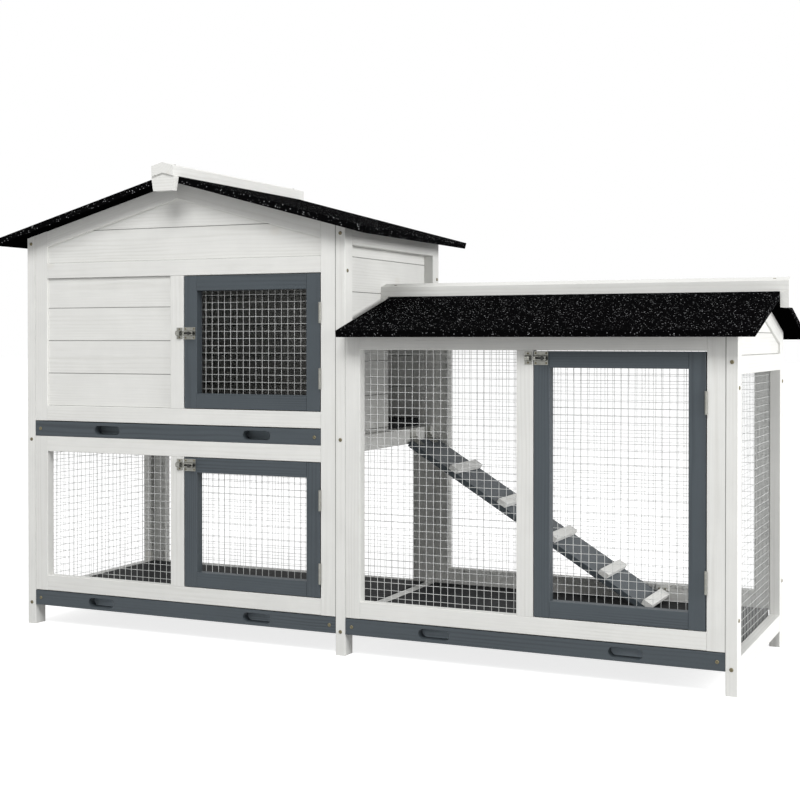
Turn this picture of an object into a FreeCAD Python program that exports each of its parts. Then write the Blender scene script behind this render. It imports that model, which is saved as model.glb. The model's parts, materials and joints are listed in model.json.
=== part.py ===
import FreeCAD, Part
import math
import os

# Guinea pig hutch with run, in millimetres.
# X runs along the front from the house to the run, Y goes from the front to the back, Z is up.
# The pieces are drawn with X = 0 at the house's left face, Y = 0 at the front face and Z = 0 on the
# ground, and moved at the end so that the origin is the bottom centre of the whole hutch.

V = FreeCAD.Vector

# Timber and boards
stock_t = 18.0        # thickness of every frame member
stock_w = 28.0        # width of every frame member
ease = 0.7            # bevel along the edges of the timber
parallel_cos = 0.9998  # edges that run with a member
plank_t = 10.0        # thickness of the wall boards
plank_w = 60.0        # height of one wall board
plank_recess = 4.0    # wall boards lie this far behind the face of their frame
gable_board_w = 58.0  # height of one gable board

# Overall frame sizes
frame_depth = 400.0
house_front_w = 628.0  # between the side frames
run_front_w = 632.0    # between the house and the run's end frame
door_bay_w = 273.0
foot_h = 36.0          # from the ground to the lowest tray slot
tray_slot_h = 29.0
lower_bay_h = 230.0
upper_bay_h = 235.0
run_bay_h = 420.0
house_side_rise = 47.0  # from the gable's top rail to the roof at the house's outer faces
run_side_rise = 2.2     # from the run's top rail to the roof at the run's outer faces
side_mid_lift = 15.0   # top of the side frames' middle rail above the upper tray slot
end_rail_drop = 8.6    # the run's end rail lies this far below the lowest tray slot
end_top_drop = 63.1     # the end window's top lies this far below the run's top rail
run_rear_lap = 4.0      # the run's rear frame reaches this far below the top of the tray slot

# Roofs
house_pitch_deg = 15.19
run_pitch_deg = 15.92
board_t = 10.0
felt_t = 1.4
house_eave = 53.5
house_roof_front = 31.0
house_roof_rear = 10.6
run_front_eave = 36.5
run_rear_eave = 50.0
run_roof_end = 31.0
cap_w = 44.0
cap_h = 18.2
cap_over = 16.4       # the house's ridge cap passes the roof by this much at both ends
end_block_t = 13.6
end_block_w = 48.0
end_block_foot_w = 40.0
end_block_drop = 31.0

# Wire mesh
mesh_pitch = 12.7
wire_d = 1.1
mesh_lap = 8.0        # lap of the mesh over the timber round an opening
gap_limit = 300       # most openings in one net

# Doors
door_gap = 1.2
hinge_gap = 1.6
door_member_w = 26.0

# Hinges
leaf_t = 0.6
leaf_d = 12.0
leaf_start = 0.3
hinge_h = 35.5
knuckle_r = 2.2
knuckle_gap = 0.3
hinge_pin_r = 1.0
pin_clearance = 0.05

# The hinges' centres, from the bottom and from the top of each door bay
upper_hinges = (56.0, 67.5)
lower_hinges = (42.0, 64.5)
run_hinges = (73.8, 77.5)

# Barrel bolts, each this far below the top of its door bay
upper_bolt_drop = 102.0
lower_bolt_drop = 14.0
run_bolt_drop = 12.2
plate_w = 23.0
plate_h = 21.4
plate_t = 1.0
plate_edge = 0.5      # from the door's edge to the plate
barrel_l = 20.0
barrel_inset = 2.0    # from the door's edge to the barrel
barrel_wall = 2.0
bolt_r = 2.5
bolt_play = 0.06
bolt_l = 22.5
bolt_travel = 11.0
knob_r = 1.75
knob_l = 9.0
knob_cap_r = 3.0
knob_cap_t = 2.0
knob_play = 0.2
keeper_w = 11.6
keeper_h = 20.0
keeper_edge = 2.4     # from the bay's edge to the keeper
keeper_loop_l = 8.0
keeper_play = 0.6

# Trays
tray_gap = 0.4        # beside and below a tray's front board
tray_top_gap = 1.6    # above it
tray_side_gap = 3.0   # from a tray to the frames beside it
tray_rear_gap = 3.0
ledge_t = 7.0
slide_gap = 0.3
runner_w = 18.0
floor_t = 5.0
floor_drop = 0.8      # from the top of the slot to the tray's floor
batten_gap = 12.0     # from the front board to the batten behind the finger slots
batten_t = 8.0
batten_lift = 1.2     # above the bottom of the slot
finger_slot_w = 55.0
finger_slot_h = 16.0
upper_slot_centres = (162.0, 475.0)
lower_slot_centres = (148.0, 475.0)
run_slot_centres = (161.0, 480.0)
upper_tray_w = 600.0

# Doorway between the upper room and the ramp
doorway_front = 209.0
doorway_rear = 371.0
doorway_h = 158.0
starter_board_h = 14.0

# Ramp
ramp_pitch_deg = 31.4
ramp_w = 120.0
ramp_t = 10.0
ramp_rear_gap = 9.0
ramp_hinge_rise = 10.0  # hinge axis above the middle rail's underside
ramp_end_gap = 6.0      # from the hinge axis to the ramp's end, along the ramp
ramp_pin_gap = 0.2
ramp_foot_gap = 0.3
cleat_first = 104.0     # from the hinge axis to the middle of the first cleat
cleat_pitch = 109.0
cleat_w = 18.0
cleat_t = 9.0
cleats_between = 4
cleat_overhang = 6.0    # of the last cleat past the ramp's end
ramp_hinge_w = 25.0
ramp_hinge_inset = 14.0
ramp_leaf_l = 14.0
ramp_leaf_t = 1.0
block_w = 22.0
block_h = 11.5
block_t = 5.8
block_centre = 444.0    # along the run from the house

# Screws
screw_head_r = 3.2
screw_head_t = 1.4
screw_r = 1.75
screw_l = 25.0
screw_play = 0.05
post_screw_drop = 10.0   # below a post's top
post_screw_foot = 40.0   # above the ground
end_post_screw_drop = 46.5
left_mid_screw_rise = 6.5     # above the middle rail's underside
centre_mid_screw_rise = 24.0
house_side_screw_drop = 72.5  # below the roof at the house's outer faces
end_side_screw_rise = 84.6    # above the end rail
end_side_screw_drop = 19.9    # below the end window's top
tray_screw_inset = 12.0
cap_screw_inset = 24.0
cap_screw_l = 14.0
block_screw_head_r = 1.6
block_screw_r = 0.8
block_screw_span = 11.0

overrun = 5.0

# Places along X
house_in_x0 = stock_t
house_in_x1 = house_in_x0 + house_front_w
house_x1 = house_in_x1 + stock_t
run_x0 = house_x1
run_x1 = run_x0 + run_front_w
run_end_x = run_x1 + stock_t
house_door_x1 = house_in_x1 - stock_w
house_door_x0 = house_door_x1 - door_bay_w
house_window_x0 = house_in_x0 + stock_w
house_window_x1 = house_door_x0 - stock_w
run_door_x1 = run_x1 - stock_w
run_door_x0 = run_door_x1 - door_bay_w
run_window_x0 = run_x0 + stock_w
run_window_x1 = run_door_x0 - stock_w
ridge_x = house_x1 / 2

# Places along Y
post_d = stock_w
rear_y = frame_depth - stock_t
rear_post_y = frame_depth - post_d
ridge_y = frame_depth / 2

# Places along Z
low_rail_z = foot_h + tray_slot_h
low_bay_z = low_rail_z + stock_w
low_top_z = low_bay_z + lower_bay_h
upper_slot_z = low_top_z + stock_w
mid_rail_z = upper_slot_z + tray_slot_h
up_bay_z = mid_rail_z + stock_w
up_top_z = up_bay_z + upper_bay_h
gable_z = up_top_z + stock_w
run_top_z = low_bay_z + run_bay_h
side_mid_top = upper_slot_z + side_mid_lift
side_mid_z = side_mid_top - stock_w
end_rail_z = foot_h - end_rail_drop
end_window_z = end_rail_z + stock_w
end_window_top = run_top_z + stock_w - end_top_drop
end_gable_z = end_window_top + stock_w
house_side_h = gable_z + house_side_rise
run_side_h = run_top_z + stock_w + run_side_rise

# Roof slopes
house_pitch = math.radians(house_pitch_deg)
run_pitch = math.radians(run_pitch_deg)
panel_t = board_t + felt_t
house_under_ridge = house_side_h + ridge_x * math.tan(house_pitch)
run_under_ridge = run_side_h + ridge_y * math.tan(run_pitch)
house_apex = house_under_ridge + panel_t / math.cos(house_pitch)
run_apex = run_under_ridge + panel_t / math.cos(run_pitch)
run_roof_x1 = run_end_x + run_roof_end

nodes = {}


def house_under(x):
    """Height of the house roof's underside at x."""
    return house_under_ridge - abs(x - ridge_x) * math.tan(house_pitch)


def run_under(y):
    """Height of the run roof's underside at y."""
    return run_under_ridge - abs(y - ridge_y) * math.tan(run_pitch)


def box(x0, x1, y0, y1, z0, z1):
    return Part.makeBox(x1 - x0, y1 - y0, z1 - z0, V(x0, y0, z0))


def polygon(points):
    return Part.Face(Part.makePolygon(points + [points[0]]))


def prism_y(outline, y0, y1):
    """Solid of an outline in X and Z, from y0 to y1."""
    face = polygon([V(x, y0, z) for x, z in outline])
    return face.extrude(V(0, y1 - y0, 0))


def prism_x(outline, x0, x1):
    """Solid of an outline in Y and Z, from x0 to x1."""
    face = polygon([V(x0, y, z) for y, z in outline])
    return face.extrude(V(x1 - x0, 0, 0))


def eased(shape, direction, sharp_z=None):
    """Bevel the edges that run along a member, except one at sharp_z."""
    along = V(direction).normalize()
    edges = []
    for edge in shape.Edges:
        run = (edge.Vertexes[-1].Point - edge.Vertexes[0].Point).normalize()
        if abs(run.dot(along)) < parallel_cos:
            continue
        if sharp_z is None or abs(edge.CenterOfMass.z - sharp_z) > ease:
            edges.append(edge)
    return shape.makeChamfer(ease, edges)


along_x = V(1, 0, 0)
along_y = V(0, 1, 0)
along_z = V(0, 0, 1)


def member(x0, x1, y0, y1, z0, z1, direction):
    return eased(box(x0, x1, y0, y1, z0, z1), direction)


def boards_up(x0, x1, y0, y1, z0, z1, direction, first=plank_w, height=plank_w):
    """Wall boards laid one on another from z0 to z1."""
    boards = []
    low = z0
    high = z0 + first
    while low < z1:
        boards.append(member(x0, x1, y0, y1, low, min(high, z1), direction))
        low = high
        high = low + height
    return boards


def add(name, *shapes):
    """Collect the solids of one node."""
    solids = nodes.setdefault(name, [])
    for shape in shapes:
        solids.extend(shape.Solids)


# Side frames of the house

def house_side_frame(name, x0, x1):
    top = [(x0, 0), (x1, 0), (x1, house_under(x1)), (x0, house_under(x0))]
    for y0 in (0, rear_post_y):
        add(name, eased(prism_y(top, y0, y0 + post_d), along_z))
    rail_z = house_side_h - stock_w
    rail = [(x0, rail_z), (x1, rail_z), (x1, house_under(x1)), (x0, house_under(x0))]
    add(name, eased(prism_y(rail, post_d, rear_post_y), along_y))
    add(name, member(x0, x1, post_d, rear_post_y, side_mid_z, side_mid_top, along_y))
    add(name, member(x0, x1, post_d, rear_post_y, foot_h, foot_h + stock_w, along_y))


house_side_frame("left_side_frame", 0, house_in_x0)
house_side_frame("right_side_frame", house_in_x1, house_x1)


# Front and rear frames of the house

rake_h = stock_w / math.cos(house_pitch)


def gable_rakes(name, y0, y1):
    for x_low in (house_window_x0, house_door_x1):
        outline = [
            (x_low, house_under(x_low)),
            (ridge_x, house_under_ridge),
            (ridge_x, house_under_ridge - rake_h),
            (x_low, house_under(x_low) - rake_h),
        ]
        slope = V(ridge_x - x_low, 0, house_under_ridge - house_under(x_low))
        add(name, eased(prism_y(outline, y0, y1), slope))


def tall_stile(name, x0, x1, y0, y1, z0):
    outline = [(x0, z0), (x1, z0), (x1, house_under(x1)), (x0, house_under(x0))]
    add(name, eased(prism_y(outline, y0, y1), along_z))


def gable_wall(y0, y1):
    """Boards between the top rail and the rakes."""
    x0 = house_window_x0
    x1 = house_door_x1
    outline = [
        (x0, gable_z),
        (x1, gable_z),
        (x1, house_under(x1) - rake_h),
        (ridge_x, house_under_ridge - rake_h),
        (x0, house_under(x0) - rake_h),
    ]
    wall = prism_y(outline, y0, y1)
    z0 = gable_z
    while z0 < house_under_ridge - rake_h:
        board = member(x0, x1, y0, y1, z0, z0 + gable_board_w, along_x)
        add("gable_boards", wall.common(board))
        z0 += gable_board_w


front = "house_front_frame"
x0 = house_in_x0
x1 = house_in_x1
add(front, member(x0, house_window_x0, 0, stock_t, low_rail_z, upper_slot_z, along_z))
tall_stile(front, x0, house_window_x0, 0, stock_t, mid_rail_z)
tall_stile(front, house_door_x1, x1, 0, stock_t, low_rail_z)
for z0 in (low_rail_z, low_top_z, mid_rail_z, up_top_z):
    add(front, member(house_window_x0, house_door_x1, 0, stock_t, z0, z0 + stock_w, along_x))
for z0, z1 in ((low_bay_z, low_top_z), (up_bay_z, up_top_z)):
    add(front, member(house_window_x1, house_door_x0, 0, stock_t, z0, z1, along_z))
gable_rakes(front, 0, stock_t)

rear = "house_rear_frame"
tall_stile(rear, x0, house_window_x0, rear_y, frame_depth, foot_h)
tall_stile(rear, house_door_x1, x1, rear_y, frame_depth, foot_h)
for z0 in (foot_h, upper_slot_z, up_top_z):
    add(rear, member(house_window_x0, house_door_x1, rear_y, frame_depth, z0, z0 + stock_w, along_x))
gable_rakes(rear, rear_y, frame_depth)

front_board_y = plank_recess
rear_board_y = frame_depth - plank_recess - plank_t
gable_wall(front_board_y, front_board_y + plank_t)
gable_wall(rear_board_y, rear_board_y + plank_t)


# Wall boards of the house

for board in boards_up(house_window_x0, house_window_x1, front_board_y, front_board_y + plank_t,
                       up_bay_z, up_top_z, along_x):
    add("front_planks", board)

for board in boards_up(house_window_x0, house_door_x1, rear_board_y, rear_board_y + plank_t,
                       upper_slot_z + stock_w, up_top_z, along_x):
    add("outer_wall_planks", board)

for board in boards_up(plank_recess, plank_recess + plank_t, post_d, rear_post_y,
                       side_mid_top, house_side_h - stock_w, along_y):
    add("outer_wall_planks", board)

siding_x0 = house_in_x1 - plank_t
siding_top = house_under(house_in_x1)
doorway = box(siding_x0 - overrun, house_x1, doorway_front, doorway_rear,
              side_mid_top, side_mid_top + doorway_h)
for board in boards_up(siding_x0, house_in_x1, stock_t, rear_y,
                       upper_slot_z + ledge_t, siding_top, along_y, first=starter_board_h):
    add("right_planks", board.cut(doorway))


# Frames of the run

run_front = "run_front_frame"
add(run_front, member(run_x0, run_window_x0, 0, stock_t, low_rail_z, run_top_z + stock_w, along_z))
add(run_front, member(run_door_x1, run_x1, 0, stock_t, low_rail_z, run_top_z + stock_w, along_z))
add(run_front, member(run_window_x1, run_door_x0, 0, stock_t, low_bay_z, run_top_z, along_z))
for z0 in (low_rail_z, run_top_z):
    add(run_front, member(run_window_x0, run_door_x1, 0, stock_t, z0, z0 + stock_w, along_x))

run_rear = "run_rear_frame"
run_rear_z = low_rail_z - run_rear_lap
for x0, x1 in ((run_x0, run_window_x0), (run_door_x1, run_x1)):
    add(run_rear, member(x0, x1, rear_y, frame_depth, run_rear_z, run_top_z + stock_w, along_z))
for z0, z1 in ((run_rear_z, low_bay_z), (run_top_z, run_top_z + stock_w)):
    add(run_rear, member(run_window_x0, run_door_x1, rear_y, frame_depth, z0, z1, along_x))

run_end = "run_end_frame"
end_rake_h = stock_w / math.cos(run_pitch)
for y0 in (0, rear_post_y):
    y1 = y0 + post_d
    outline = [(y0, 0), (y1, 0), (y1, run_under(y1)), (y0, run_under(y0))]
    add(run_end, eased(prism_x(outline, run_x1, run_end_x), along_z))
for z0 in (end_rail_z, end_window_top):
    add(run_end, member(run_x1, run_end_x, post_d, rear_post_y, z0, z0 + stock_w, along_y))
for y_low in (post_d, rear_post_y):
    outline = [
        (y_low, run_under(y_low)),
        (ridge_y, run_under_ridge),
        (ridge_y, run_under_ridge - end_rake_h),
        (y_low, run_under(y_low) - end_rake_h),
    ]
    slope = V(0, ridge_y - y_low, run_under_ridge - run_under(y_low))
    add(run_end, eased(prism_x(outline, run_x1, run_end_x), slope))

end_board_x1 = run_end_x - plank_recess
end_board_x0 = end_board_x1 - plank_t
end_wall = prism_x([
    (post_d, end_gable_z),
    (rear_post_y, end_gable_z),
    (rear_post_y, run_under(rear_post_y) - end_rake_h),
    (ridge_y, run_under_ridge - end_rake_h),
    (post_d, run_under(post_d) - end_rake_h),
], end_board_x0, end_board_x1)
z0 = end_gable_z
end_board_h = run_top_z + stock_w - end_gable_z
while z0 < run_under_ridge - end_rake_h:
    board = member(end_board_x0, end_board_x1, post_d, rear_post_y, z0, z0 + end_board_h, along_y)
    add("gable_boards", end_wall.common(board))
    z0 += end_board_h


# Roof panels: a board with felt folded over its top and outer edges

def roof_panel(name, to_solid, ridge, side, apex_low, pitch, reach, start, stop, wrap_start=True):
    """One slope of a roof. side is -1 or 1, reach is from the ridge to the eave."""
    rise = math.tan(pitch)
    along = V(math.cos(pitch) * side, -math.sin(pitch), 0)
    normal = V(math.sin(pitch) * side, math.cos(pitch), 0)
    eave_top = V(ridge + side * reach, apex_low + panel_t / math.cos(pitch) - reach * rise, 0)
    eave_low = eave_top - normal * panel_t
    edge_low = eave_low - along * felt_t
    edge_top = edge_low + normal * board_t
    full = [
        (ridge, apex_low),
        (ridge, apex_low + panel_t / math.cos(pitch)),
        (eave_top.x, eave_top.y),
        (eave_low.x, eave_low.y),
    ]
    core = [
        (ridge, apex_low),
        (ridge, apex_low + board_t / math.cos(pitch)),
        (edge_top.x, edge_top.y),
        (edge_low.x, edge_low.y),
    ]
    core_start = start + felt_t if wrap_start else start
    core_stop = stop - felt_t
    board = to_solid(core, core_start, core_stop)
    add(name + "_board", board)
    add(name + "_felt", to_solid(full, start, stop).cut(board))


house_roof_y0 = -house_roof_front
house_roof_y1 = frame_depth + house_roof_rear
house_reach = ridge_x + house_eave
roof_panel("house_roof_left", prism_y, ridge_x, -1, house_under_ridge, house_pitch,
           house_reach, house_roof_y0, house_roof_y1)
roof_panel("house_roof_right", prism_y, ridge_x, 1, house_under_ridge, house_pitch,
           house_reach, house_roof_y0, house_roof_y1)
run_rear_reach = ridge_y + run_rear_eave
roof_panel("run_roof_front", prism_x, ridge_y, -1, run_under_ridge, run_pitch,
           ridge_y + run_front_eave, run_x0, run_roof_x1, wrap_start=False)
roof_panel("run_roof_rear", prism_x, ridge_y, 1, run_under_ridge, run_pitch,
           run_rear_reach, run_x0, run_roof_x1, wrap_start=False)


# Ridge caps and the blocks under their ends

def chevron(ridge, apex, pitch):
    fall = cap_w / 2 * math.tan(pitch)
    return [
        (ridge, apex),
        (ridge + cap_w / 2, apex - fall),
        (ridge + cap_w / 2, apex - fall + cap_h),
        (ridge, apex + cap_h),
        (ridge - cap_w / 2, apex - fall + cap_h),
        (ridge - cap_w / 2, apex - fall),
    ]


def end_block(ridge, apex, pitch):
    shoulder = apex - end_block_w / 2 * math.tan(pitch)
    return [
        (ridge, apex),
        (ridge + end_block_w / 2, shoulder),
        (ridge + end_block_foot_w / 2, apex - end_block_drop),
        (ridge - end_block_foot_w / 2, apex - end_block_drop),
        (ridge - end_block_w / 2, shoulder),
    ]


house_cap_y0 = house_roof_y0 - cap_over
house_cap_y1 = house_roof_y1 + cap_over
run_cap_x1 = run_roof_x1 + end_block_t
house_chevron = chevron(ridge_x, house_apex, house_pitch)
run_chevron = chevron(ridge_y, run_apex, run_pitch)
house_cap = eased(prism_y(house_chevron, house_cap_y0, house_cap_y1), along_y, house_apex)
run_cap = eased(prism_x(run_chevron, house_in_x1, run_cap_x1), along_x, run_apex)
house_block = end_block(ridge_x, house_apex, house_pitch)
run_block = end_block(ridge_y, run_apex, run_pitch)
add("ridge_end_blocks", prism_y(house_block, house_roof_y0 - end_block_t, house_roof_y0))
add("ridge_end_blocks", prism_y(house_block, house_roof_y1, house_roof_y1 + end_block_t))
add("ridge_end_blocks", prism_x(run_block, run_roof_x1, run_cap_x1))
add("ridge_end_blocks", prism_x(run_block, house_in_x1, house_in_x1 + end_block_t))


# Wire mesh panels, each one holed sheet

def holed_sheet(origin, along_u, along_v, through, width, height):
    """Net with square holes between straight bars."""
    step = mesh_pitch
    while (width // step) * (height // step) > gap_limit:
        step += mesh_pitch
    count_u = max(1, round((width - wire_d) / step))
    count_v = max(1, round((height - wire_d) / step))
    step_u = (width - wire_d) / count_u
    step_v = (height - wire_d) / count_v

    def loop(u0, v0, u1, v1):
        return [(u0, v0), (u1, v0), (u1, v1), (u0, v1), (u0, v0)]

    def wire(corners):
        return Part.makePolygon([origin + along_u * u + along_v * v for u, v in corners])

    wires = [wire(loop(0, 0, width, height))]
    for i in range(count_u):
        for j in range(count_v):
            u0 = wire_d + i * step_u
            v0 = wire_d + j * step_v
            hole = loop(u0, v0, u0 + step_u - wire_d, v0 + step_v - wire_d)
            wires.append(wire(hole[::-1]))
    return Part.Face(wires).extrude(through * wire_d)


def mesh_y(name, x0, x1, z0, z1, y):
    """Net across the depth at y, over an opening from x0 to x1 and z0 to z1."""
    start = V(x0 - mesh_lap, y, z0 - mesh_lap)
    size_u = x1 - x0 + mesh_lap * 2
    size_v = z1 - z0 + mesh_lap * 2
    add(name, holed_sheet(start, along_x, along_z, along_y, size_u, size_v))


def mesh_x(name, z0, z1, x):
    """Net over a side frame's opening."""
    start = V(x, post_d - mesh_lap, z0 - mesh_lap)
    size_u = rear_post_y - post_d + mesh_lap * 2
    size_v = z1 - z0 + mesh_lap * 2
    add(name, holed_sheet(start, along_y, along_z, along_x, size_u, size_v))


mesh_y("window_meshes", house_window_x0, house_window_x1, low_bay_z, low_top_z, stock_t)
mesh_y("window_meshes", run_window_x0, run_window_x1, low_bay_z, run_top_z, stock_t)
mesh_y("house_rear_mesh", house_window_x0, house_door_x1, foot_h + stock_w, upper_slot_z, rear_y - wire_d)
mesh_y("run_rear_mesh", run_window_x0, run_door_x1, low_bay_z, run_top_z, rear_y - wire_d)
mesh_x("left_side_mesh", foot_h + stock_w, side_mid_z, house_in_x0)
mesh_x("run_end_mesh", end_window_z, end_window_top, run_x1 - wire_d)


# Doors with their meshes, hinges and bolts

def knuckle_leaf(x0, x1, axis_x, z0, parts, thirds):
    """Leaf beside the door's edge, with the knuckles numbered in parts."""
    third = hinge_h / thirds
    axis_y = -knuckle_r
    leaf = box(x0, x1, leaf_start, leaf_d, z0, z0 + hinge_h)
    for part in parts:
        low = z0 + part * third + knuckle_gap / 2
        tall = third - knuckle_gap
        leaf = leaf.fuse(box(x0, x1, axis_y, leaf_start, low, low + tall))
        leaf = leaf.fuse(Part.makeCylinder(knuckle_r, tall, V(axis_x, axis_y, low), along_z))
    bore = Part.makeCylinder(hinge_pin_r + pin_clearance, hinge_h, V(axis_x, axis_y, z0), along_z)
    return leaf.cut(bore).removeSplitter()


def door_hinges(name, bay_x1, centres):
    axis_x = bay_x1 - hinge_gap / 2
    door_x1 = bay_x1 - hinge_gap
    for centre in centres:
        z0 = centre - hinge_h / 2
        fixed = knuckle_leaf(bay_x1 - leaf_t, bay_x1, axis_x, z0, (0, 2), 3)
        moving = knuckle_leaf(door_x1, door_x1 + leaf_t, axis_x, z0, (1,), 3)
        add("hinge_frame_leaves", fixed)
        add(name + "_hinge_leaves", moving)
        add("hinge_pins", Part.makeCylinder(hinge_pin_r, hinge_h, V(axis_x, -knuckle_r, z0), along_z))


barrel_r = bolt_r + barrel_wall
bolt_axis_y = -plate_t - bolt_r - barrel_wall / 2


def barrel(x0, length, z, bore_r):
    """Half-round housing on a plate, open along the bolt."""
    start = V(x0, bolt_axis_y, z)
    round_part = Part.makeCylinder(barrel_r, length, start, along_x)
    foot = box(x0, x0 + length, bolt_axis_y, -plate_t, z - barrel_r, z + barrel_r)
    front_of_plate = box(x0 - overrun, x0 + length + overrun, bolt_axis_y - barrel_r * 2, -plate_t,
                         z - barrel_r * 2, z + barrel_r * 2)
    solid = round_part.fuse(foot).common(front_of_plate)
    bore = Part.makeCylinder(bore_r, length + overrun * 2, start - V(overrun, 0, 0), along_x)
    return solid.cut(bore)


def door_bolt(name, door_x0, bay_x0, z):
    plate_x0 = door_x0 + plate_edge
    plate = box(plate_x0, plate_x0 + plate_w, -plate_t, 0, z - plate_h / 2, z + plate_h / 2)
    barrel_x0 = door_x0 + barrel_inset
    housing = barrel(barrel_x0, barrel_l, z, bolt_r + bolt_play)
    knob_x = barrel_x0 + barrel_l - barrel_wall - knob_r - knob_play
    slot_x0 = knob_x - bolt_travel - knob_r - knob_play
    slot_x1 = knob_x + knob_r + knob_play
    slot_half = knob_r + knob_play
    slot = box(slot_x0, slot_x1, bolt_axis_y - barrel_r * 2, bolt_axis_y, z - slot_half, z + slot_half)
    add(name + "_bolt_plate", plate.fuse(housing.cut(slot)).removeSplitter())
    rod = Part.makeCylinder(bolt_r, bolt_l, V(plate_x0, bolt_axis_y, z), along_x)
    stem = Part.makeCylinder(knob_r, knob_l, V(knob_x, bolt_axis_y, z), -along_y)
    cap_y = bolt_axis_y - knob_l
    cap = Part.makeCylinder(knob_cap_r, knob_cap_t, V(knob_x, cap_y, z), -along_y)
    add(name + "_bolt", rod.fuse(stem).fuse(cap).removeSplitter())
    keeper_x1 = bay_x0 - keeper_edge
    keeper_x0 = keeper_x1 - keeper_w
    keeper_plate = box(keeper_x0, keeper_x1, -plate_t, 0, z - keeper_h / 2, z + keeper_h / 2)
    loop_x0 = (keeper_x0 + keeper_x1 - keeper_loop_l) / 2
    loop = barrel(loop_x0, keeper_loop_l, z, bolt_r + keeper_play)
    add("bolt_keepers", keeper_plate.fuse(loop).removeSplitter())


def door(name, bay_x0, bay_z0, bay_h, hinges, bolt_drop):
    """Door in the bay from bay_x0, with its left edge at the bolt."""
    x0 = bay_x0 + door_gap
    x1 = bay_x0 + door_bay_w - hinge_gap
    z0 = bay_z0 + door_gap
    z1 = bay_z0 + bay_h - door_gap
    in_x0 = x0 + door_member_w
    in_x1 = x1 - door_member_w
    frame = name + "_frame"
    add(frame, member(x0, in_x0, 0, stock_t, z0, z1, along_z))
    add(frame, member(in_x1, x1, 0, stock_t, z0, z1, along_z))
    add(frame, member(in_x0, in_x1, 0, stock_t, z0, z0 + door_member_w, along_x))
    add(frame, member(in_x0, in_x1, 0, stock_t, z1 - door_member_w, z1, along_x))
    mesh_y(name + "_mesh", in_x0, in_x1, z0 + door_member_w, z1 - door_member_w, stock_t)
    bay_top = bay_z0 + bay_h
    from_bottom, from_top = hinges
    door_hinges(name, bay_x0 + door_bay_w, (bay_z0 + from_bottom, bay_top - from_top))
    door_bolt(name, x0, bay_x0, bay_top - bolt_drop)


door("upper_door", house_door_x0, up_bay_z, upper_bay_h, upper_hinges, upper_bolt_drop)
door("lower_door", house_door_x0, low_bay_z, lower_bay_h, lower_hinges, lower_bolt_drop)
door("run_door", run_door_x0, low_bay_z, run_bay_h, run_hinges, run_bolt_drop)


# Trays, their ledges and the strip of floor beside the upper tray

def finger_slot(x, z):
    """Round-ended slot through a tray's front board."""
    half = (finger_slot_w - finger_slot_h) / 2
    r = finger_slot_h / 2
    depth = stock_t + overrun * 2
    slot = box(x - half, x + half, -overrun, depth - overrun, z - r, z + r)
    for end in (x - half, x + half):
        slot = slot.fuse(Part.makeCylinder(r, depth, V(end, -overrun, z), along_y))
    return slot


floor_rear = rear_y - tray_rear_gap
ledge_w = runner_w + tray_side_gap


def tray(name, x0, x1, floor_x0, floor_x1, slot_z, slot_centres):
    z0 = slot_z + tray_gap
    z1 = slot_z + tray_slot_h - tray_top_gap
    board = member(x0 + tray_gap, x1 - tray_gap, 0, stock_t, z0, z1, along_x)
    slot_mid = (z0 + z1) / 2
    for centre in slot_centres:
        board = board.cut(finger_slot(x0 + centre, slot_mid))
    floor_top = slot_z + tray_slot_h - floor_drop
    floor_z = floor_top - floor_t
    floor = box(floor_x0, floor_x1, stock_t, floor_rear, floor_z, floor_top)
    runner_z = slot_z + ledge_t + slide_gap
    for runner_x in (floor_x0, floor_x1 - runner_w):
        floor = floor.fuse(box(runner_x, runner_x + runner_w, stock_t, floor_rear, runner_z, floor_z))
    batten_y = stock_t + batten_gap
    batten = member(floor_x0 + ledge_w, floor_x1 - ledge_w, batten_y, batten_y + batten_t,
                    slot_z + batten_lift, floor_z, along_x)
    add(name + "_front", board)
    add(name + "_floor", floor.removeSplitter(), batten)
    return slot_mid


ledge_rear = rear_y - wire_d * 2


def ledge(x0, x1, slot_z):
    add("inner_battens", member(x0, x1, stock_t, ledge_rear, slot_z, slot_z + ledge_t, along_y))


upper_tray_x1 = house_in_x0 + upper_tray_w
upper_floor_x1 = upper_tray_x1 - tray_side_gap
upper_mid = tray("upper_tray", house_in_x0, upper_tray_x1, house_in_x0 + tray_side_gap, upper_floor_x1,
                 upper_slot_z, upper_slot_centres)
lower_mid = tray("lower_tray", house_in_x0, house_in_x1, house_in_x0 + tray_side_gap,
                 house_in_x1 - tray_side_gap, foot_h, lower_slot_centres)
run_mid = tray("run_tray", run_x0, run_x1, run_x0 + tray_side_gap, run_x1 - tray_side_gap,
               foot_h, run_slot_centres)
ledge(house_in_x0, house_in_x0 + ledge_w, upper_slot_z)
ledge(upper_floor_x1 - runner_w, house_in_x1, upper_slot_z)
ledge(house_in_x0, house_in_x0 + ledge_w, foot_h)
ledge(house_in_x1 - ledge_w, house_in_x1, foot_h)
ledge(run_x0, run_x0 + ledge_w, foot_h)
ledge(run_x1 - ledge_w, run_x1, foot_h)
add("upper_floor_strip", member(upper_tray_x1, siding_x0, stock_t, ledge_rear,
                                upper_slot_z + ledge_t, mid_rail_z - floor_drop, along_y))


# Ramp, drawn along its own slope and hinged on the middle rail

ramp_pitch = math.radians(ramp_pitch_deg)
ramp_axis_x = house_x1 + knuckle_r + ramp_pin_gap
ramp_axis_z = side_mid_z + ramp_hinge_rise
ramp_top = -knuckle_r - ramp_pin_gap
ramp_y1 = rear_y - wire_d - ramp_rear_gap
ramp_y0 = ramp_y1 - ramp_w
run_floor_z = foot_h + tray_slot_h - floor_drop
ramp_fall = ramp_axis_z - run_floor_z - ramp_foot_gap - (ramp_t - ramp_top) * math.cos(ramp_pitch)
ramp_end = ramp_fall / math.sin(ramp_pitch)


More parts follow.
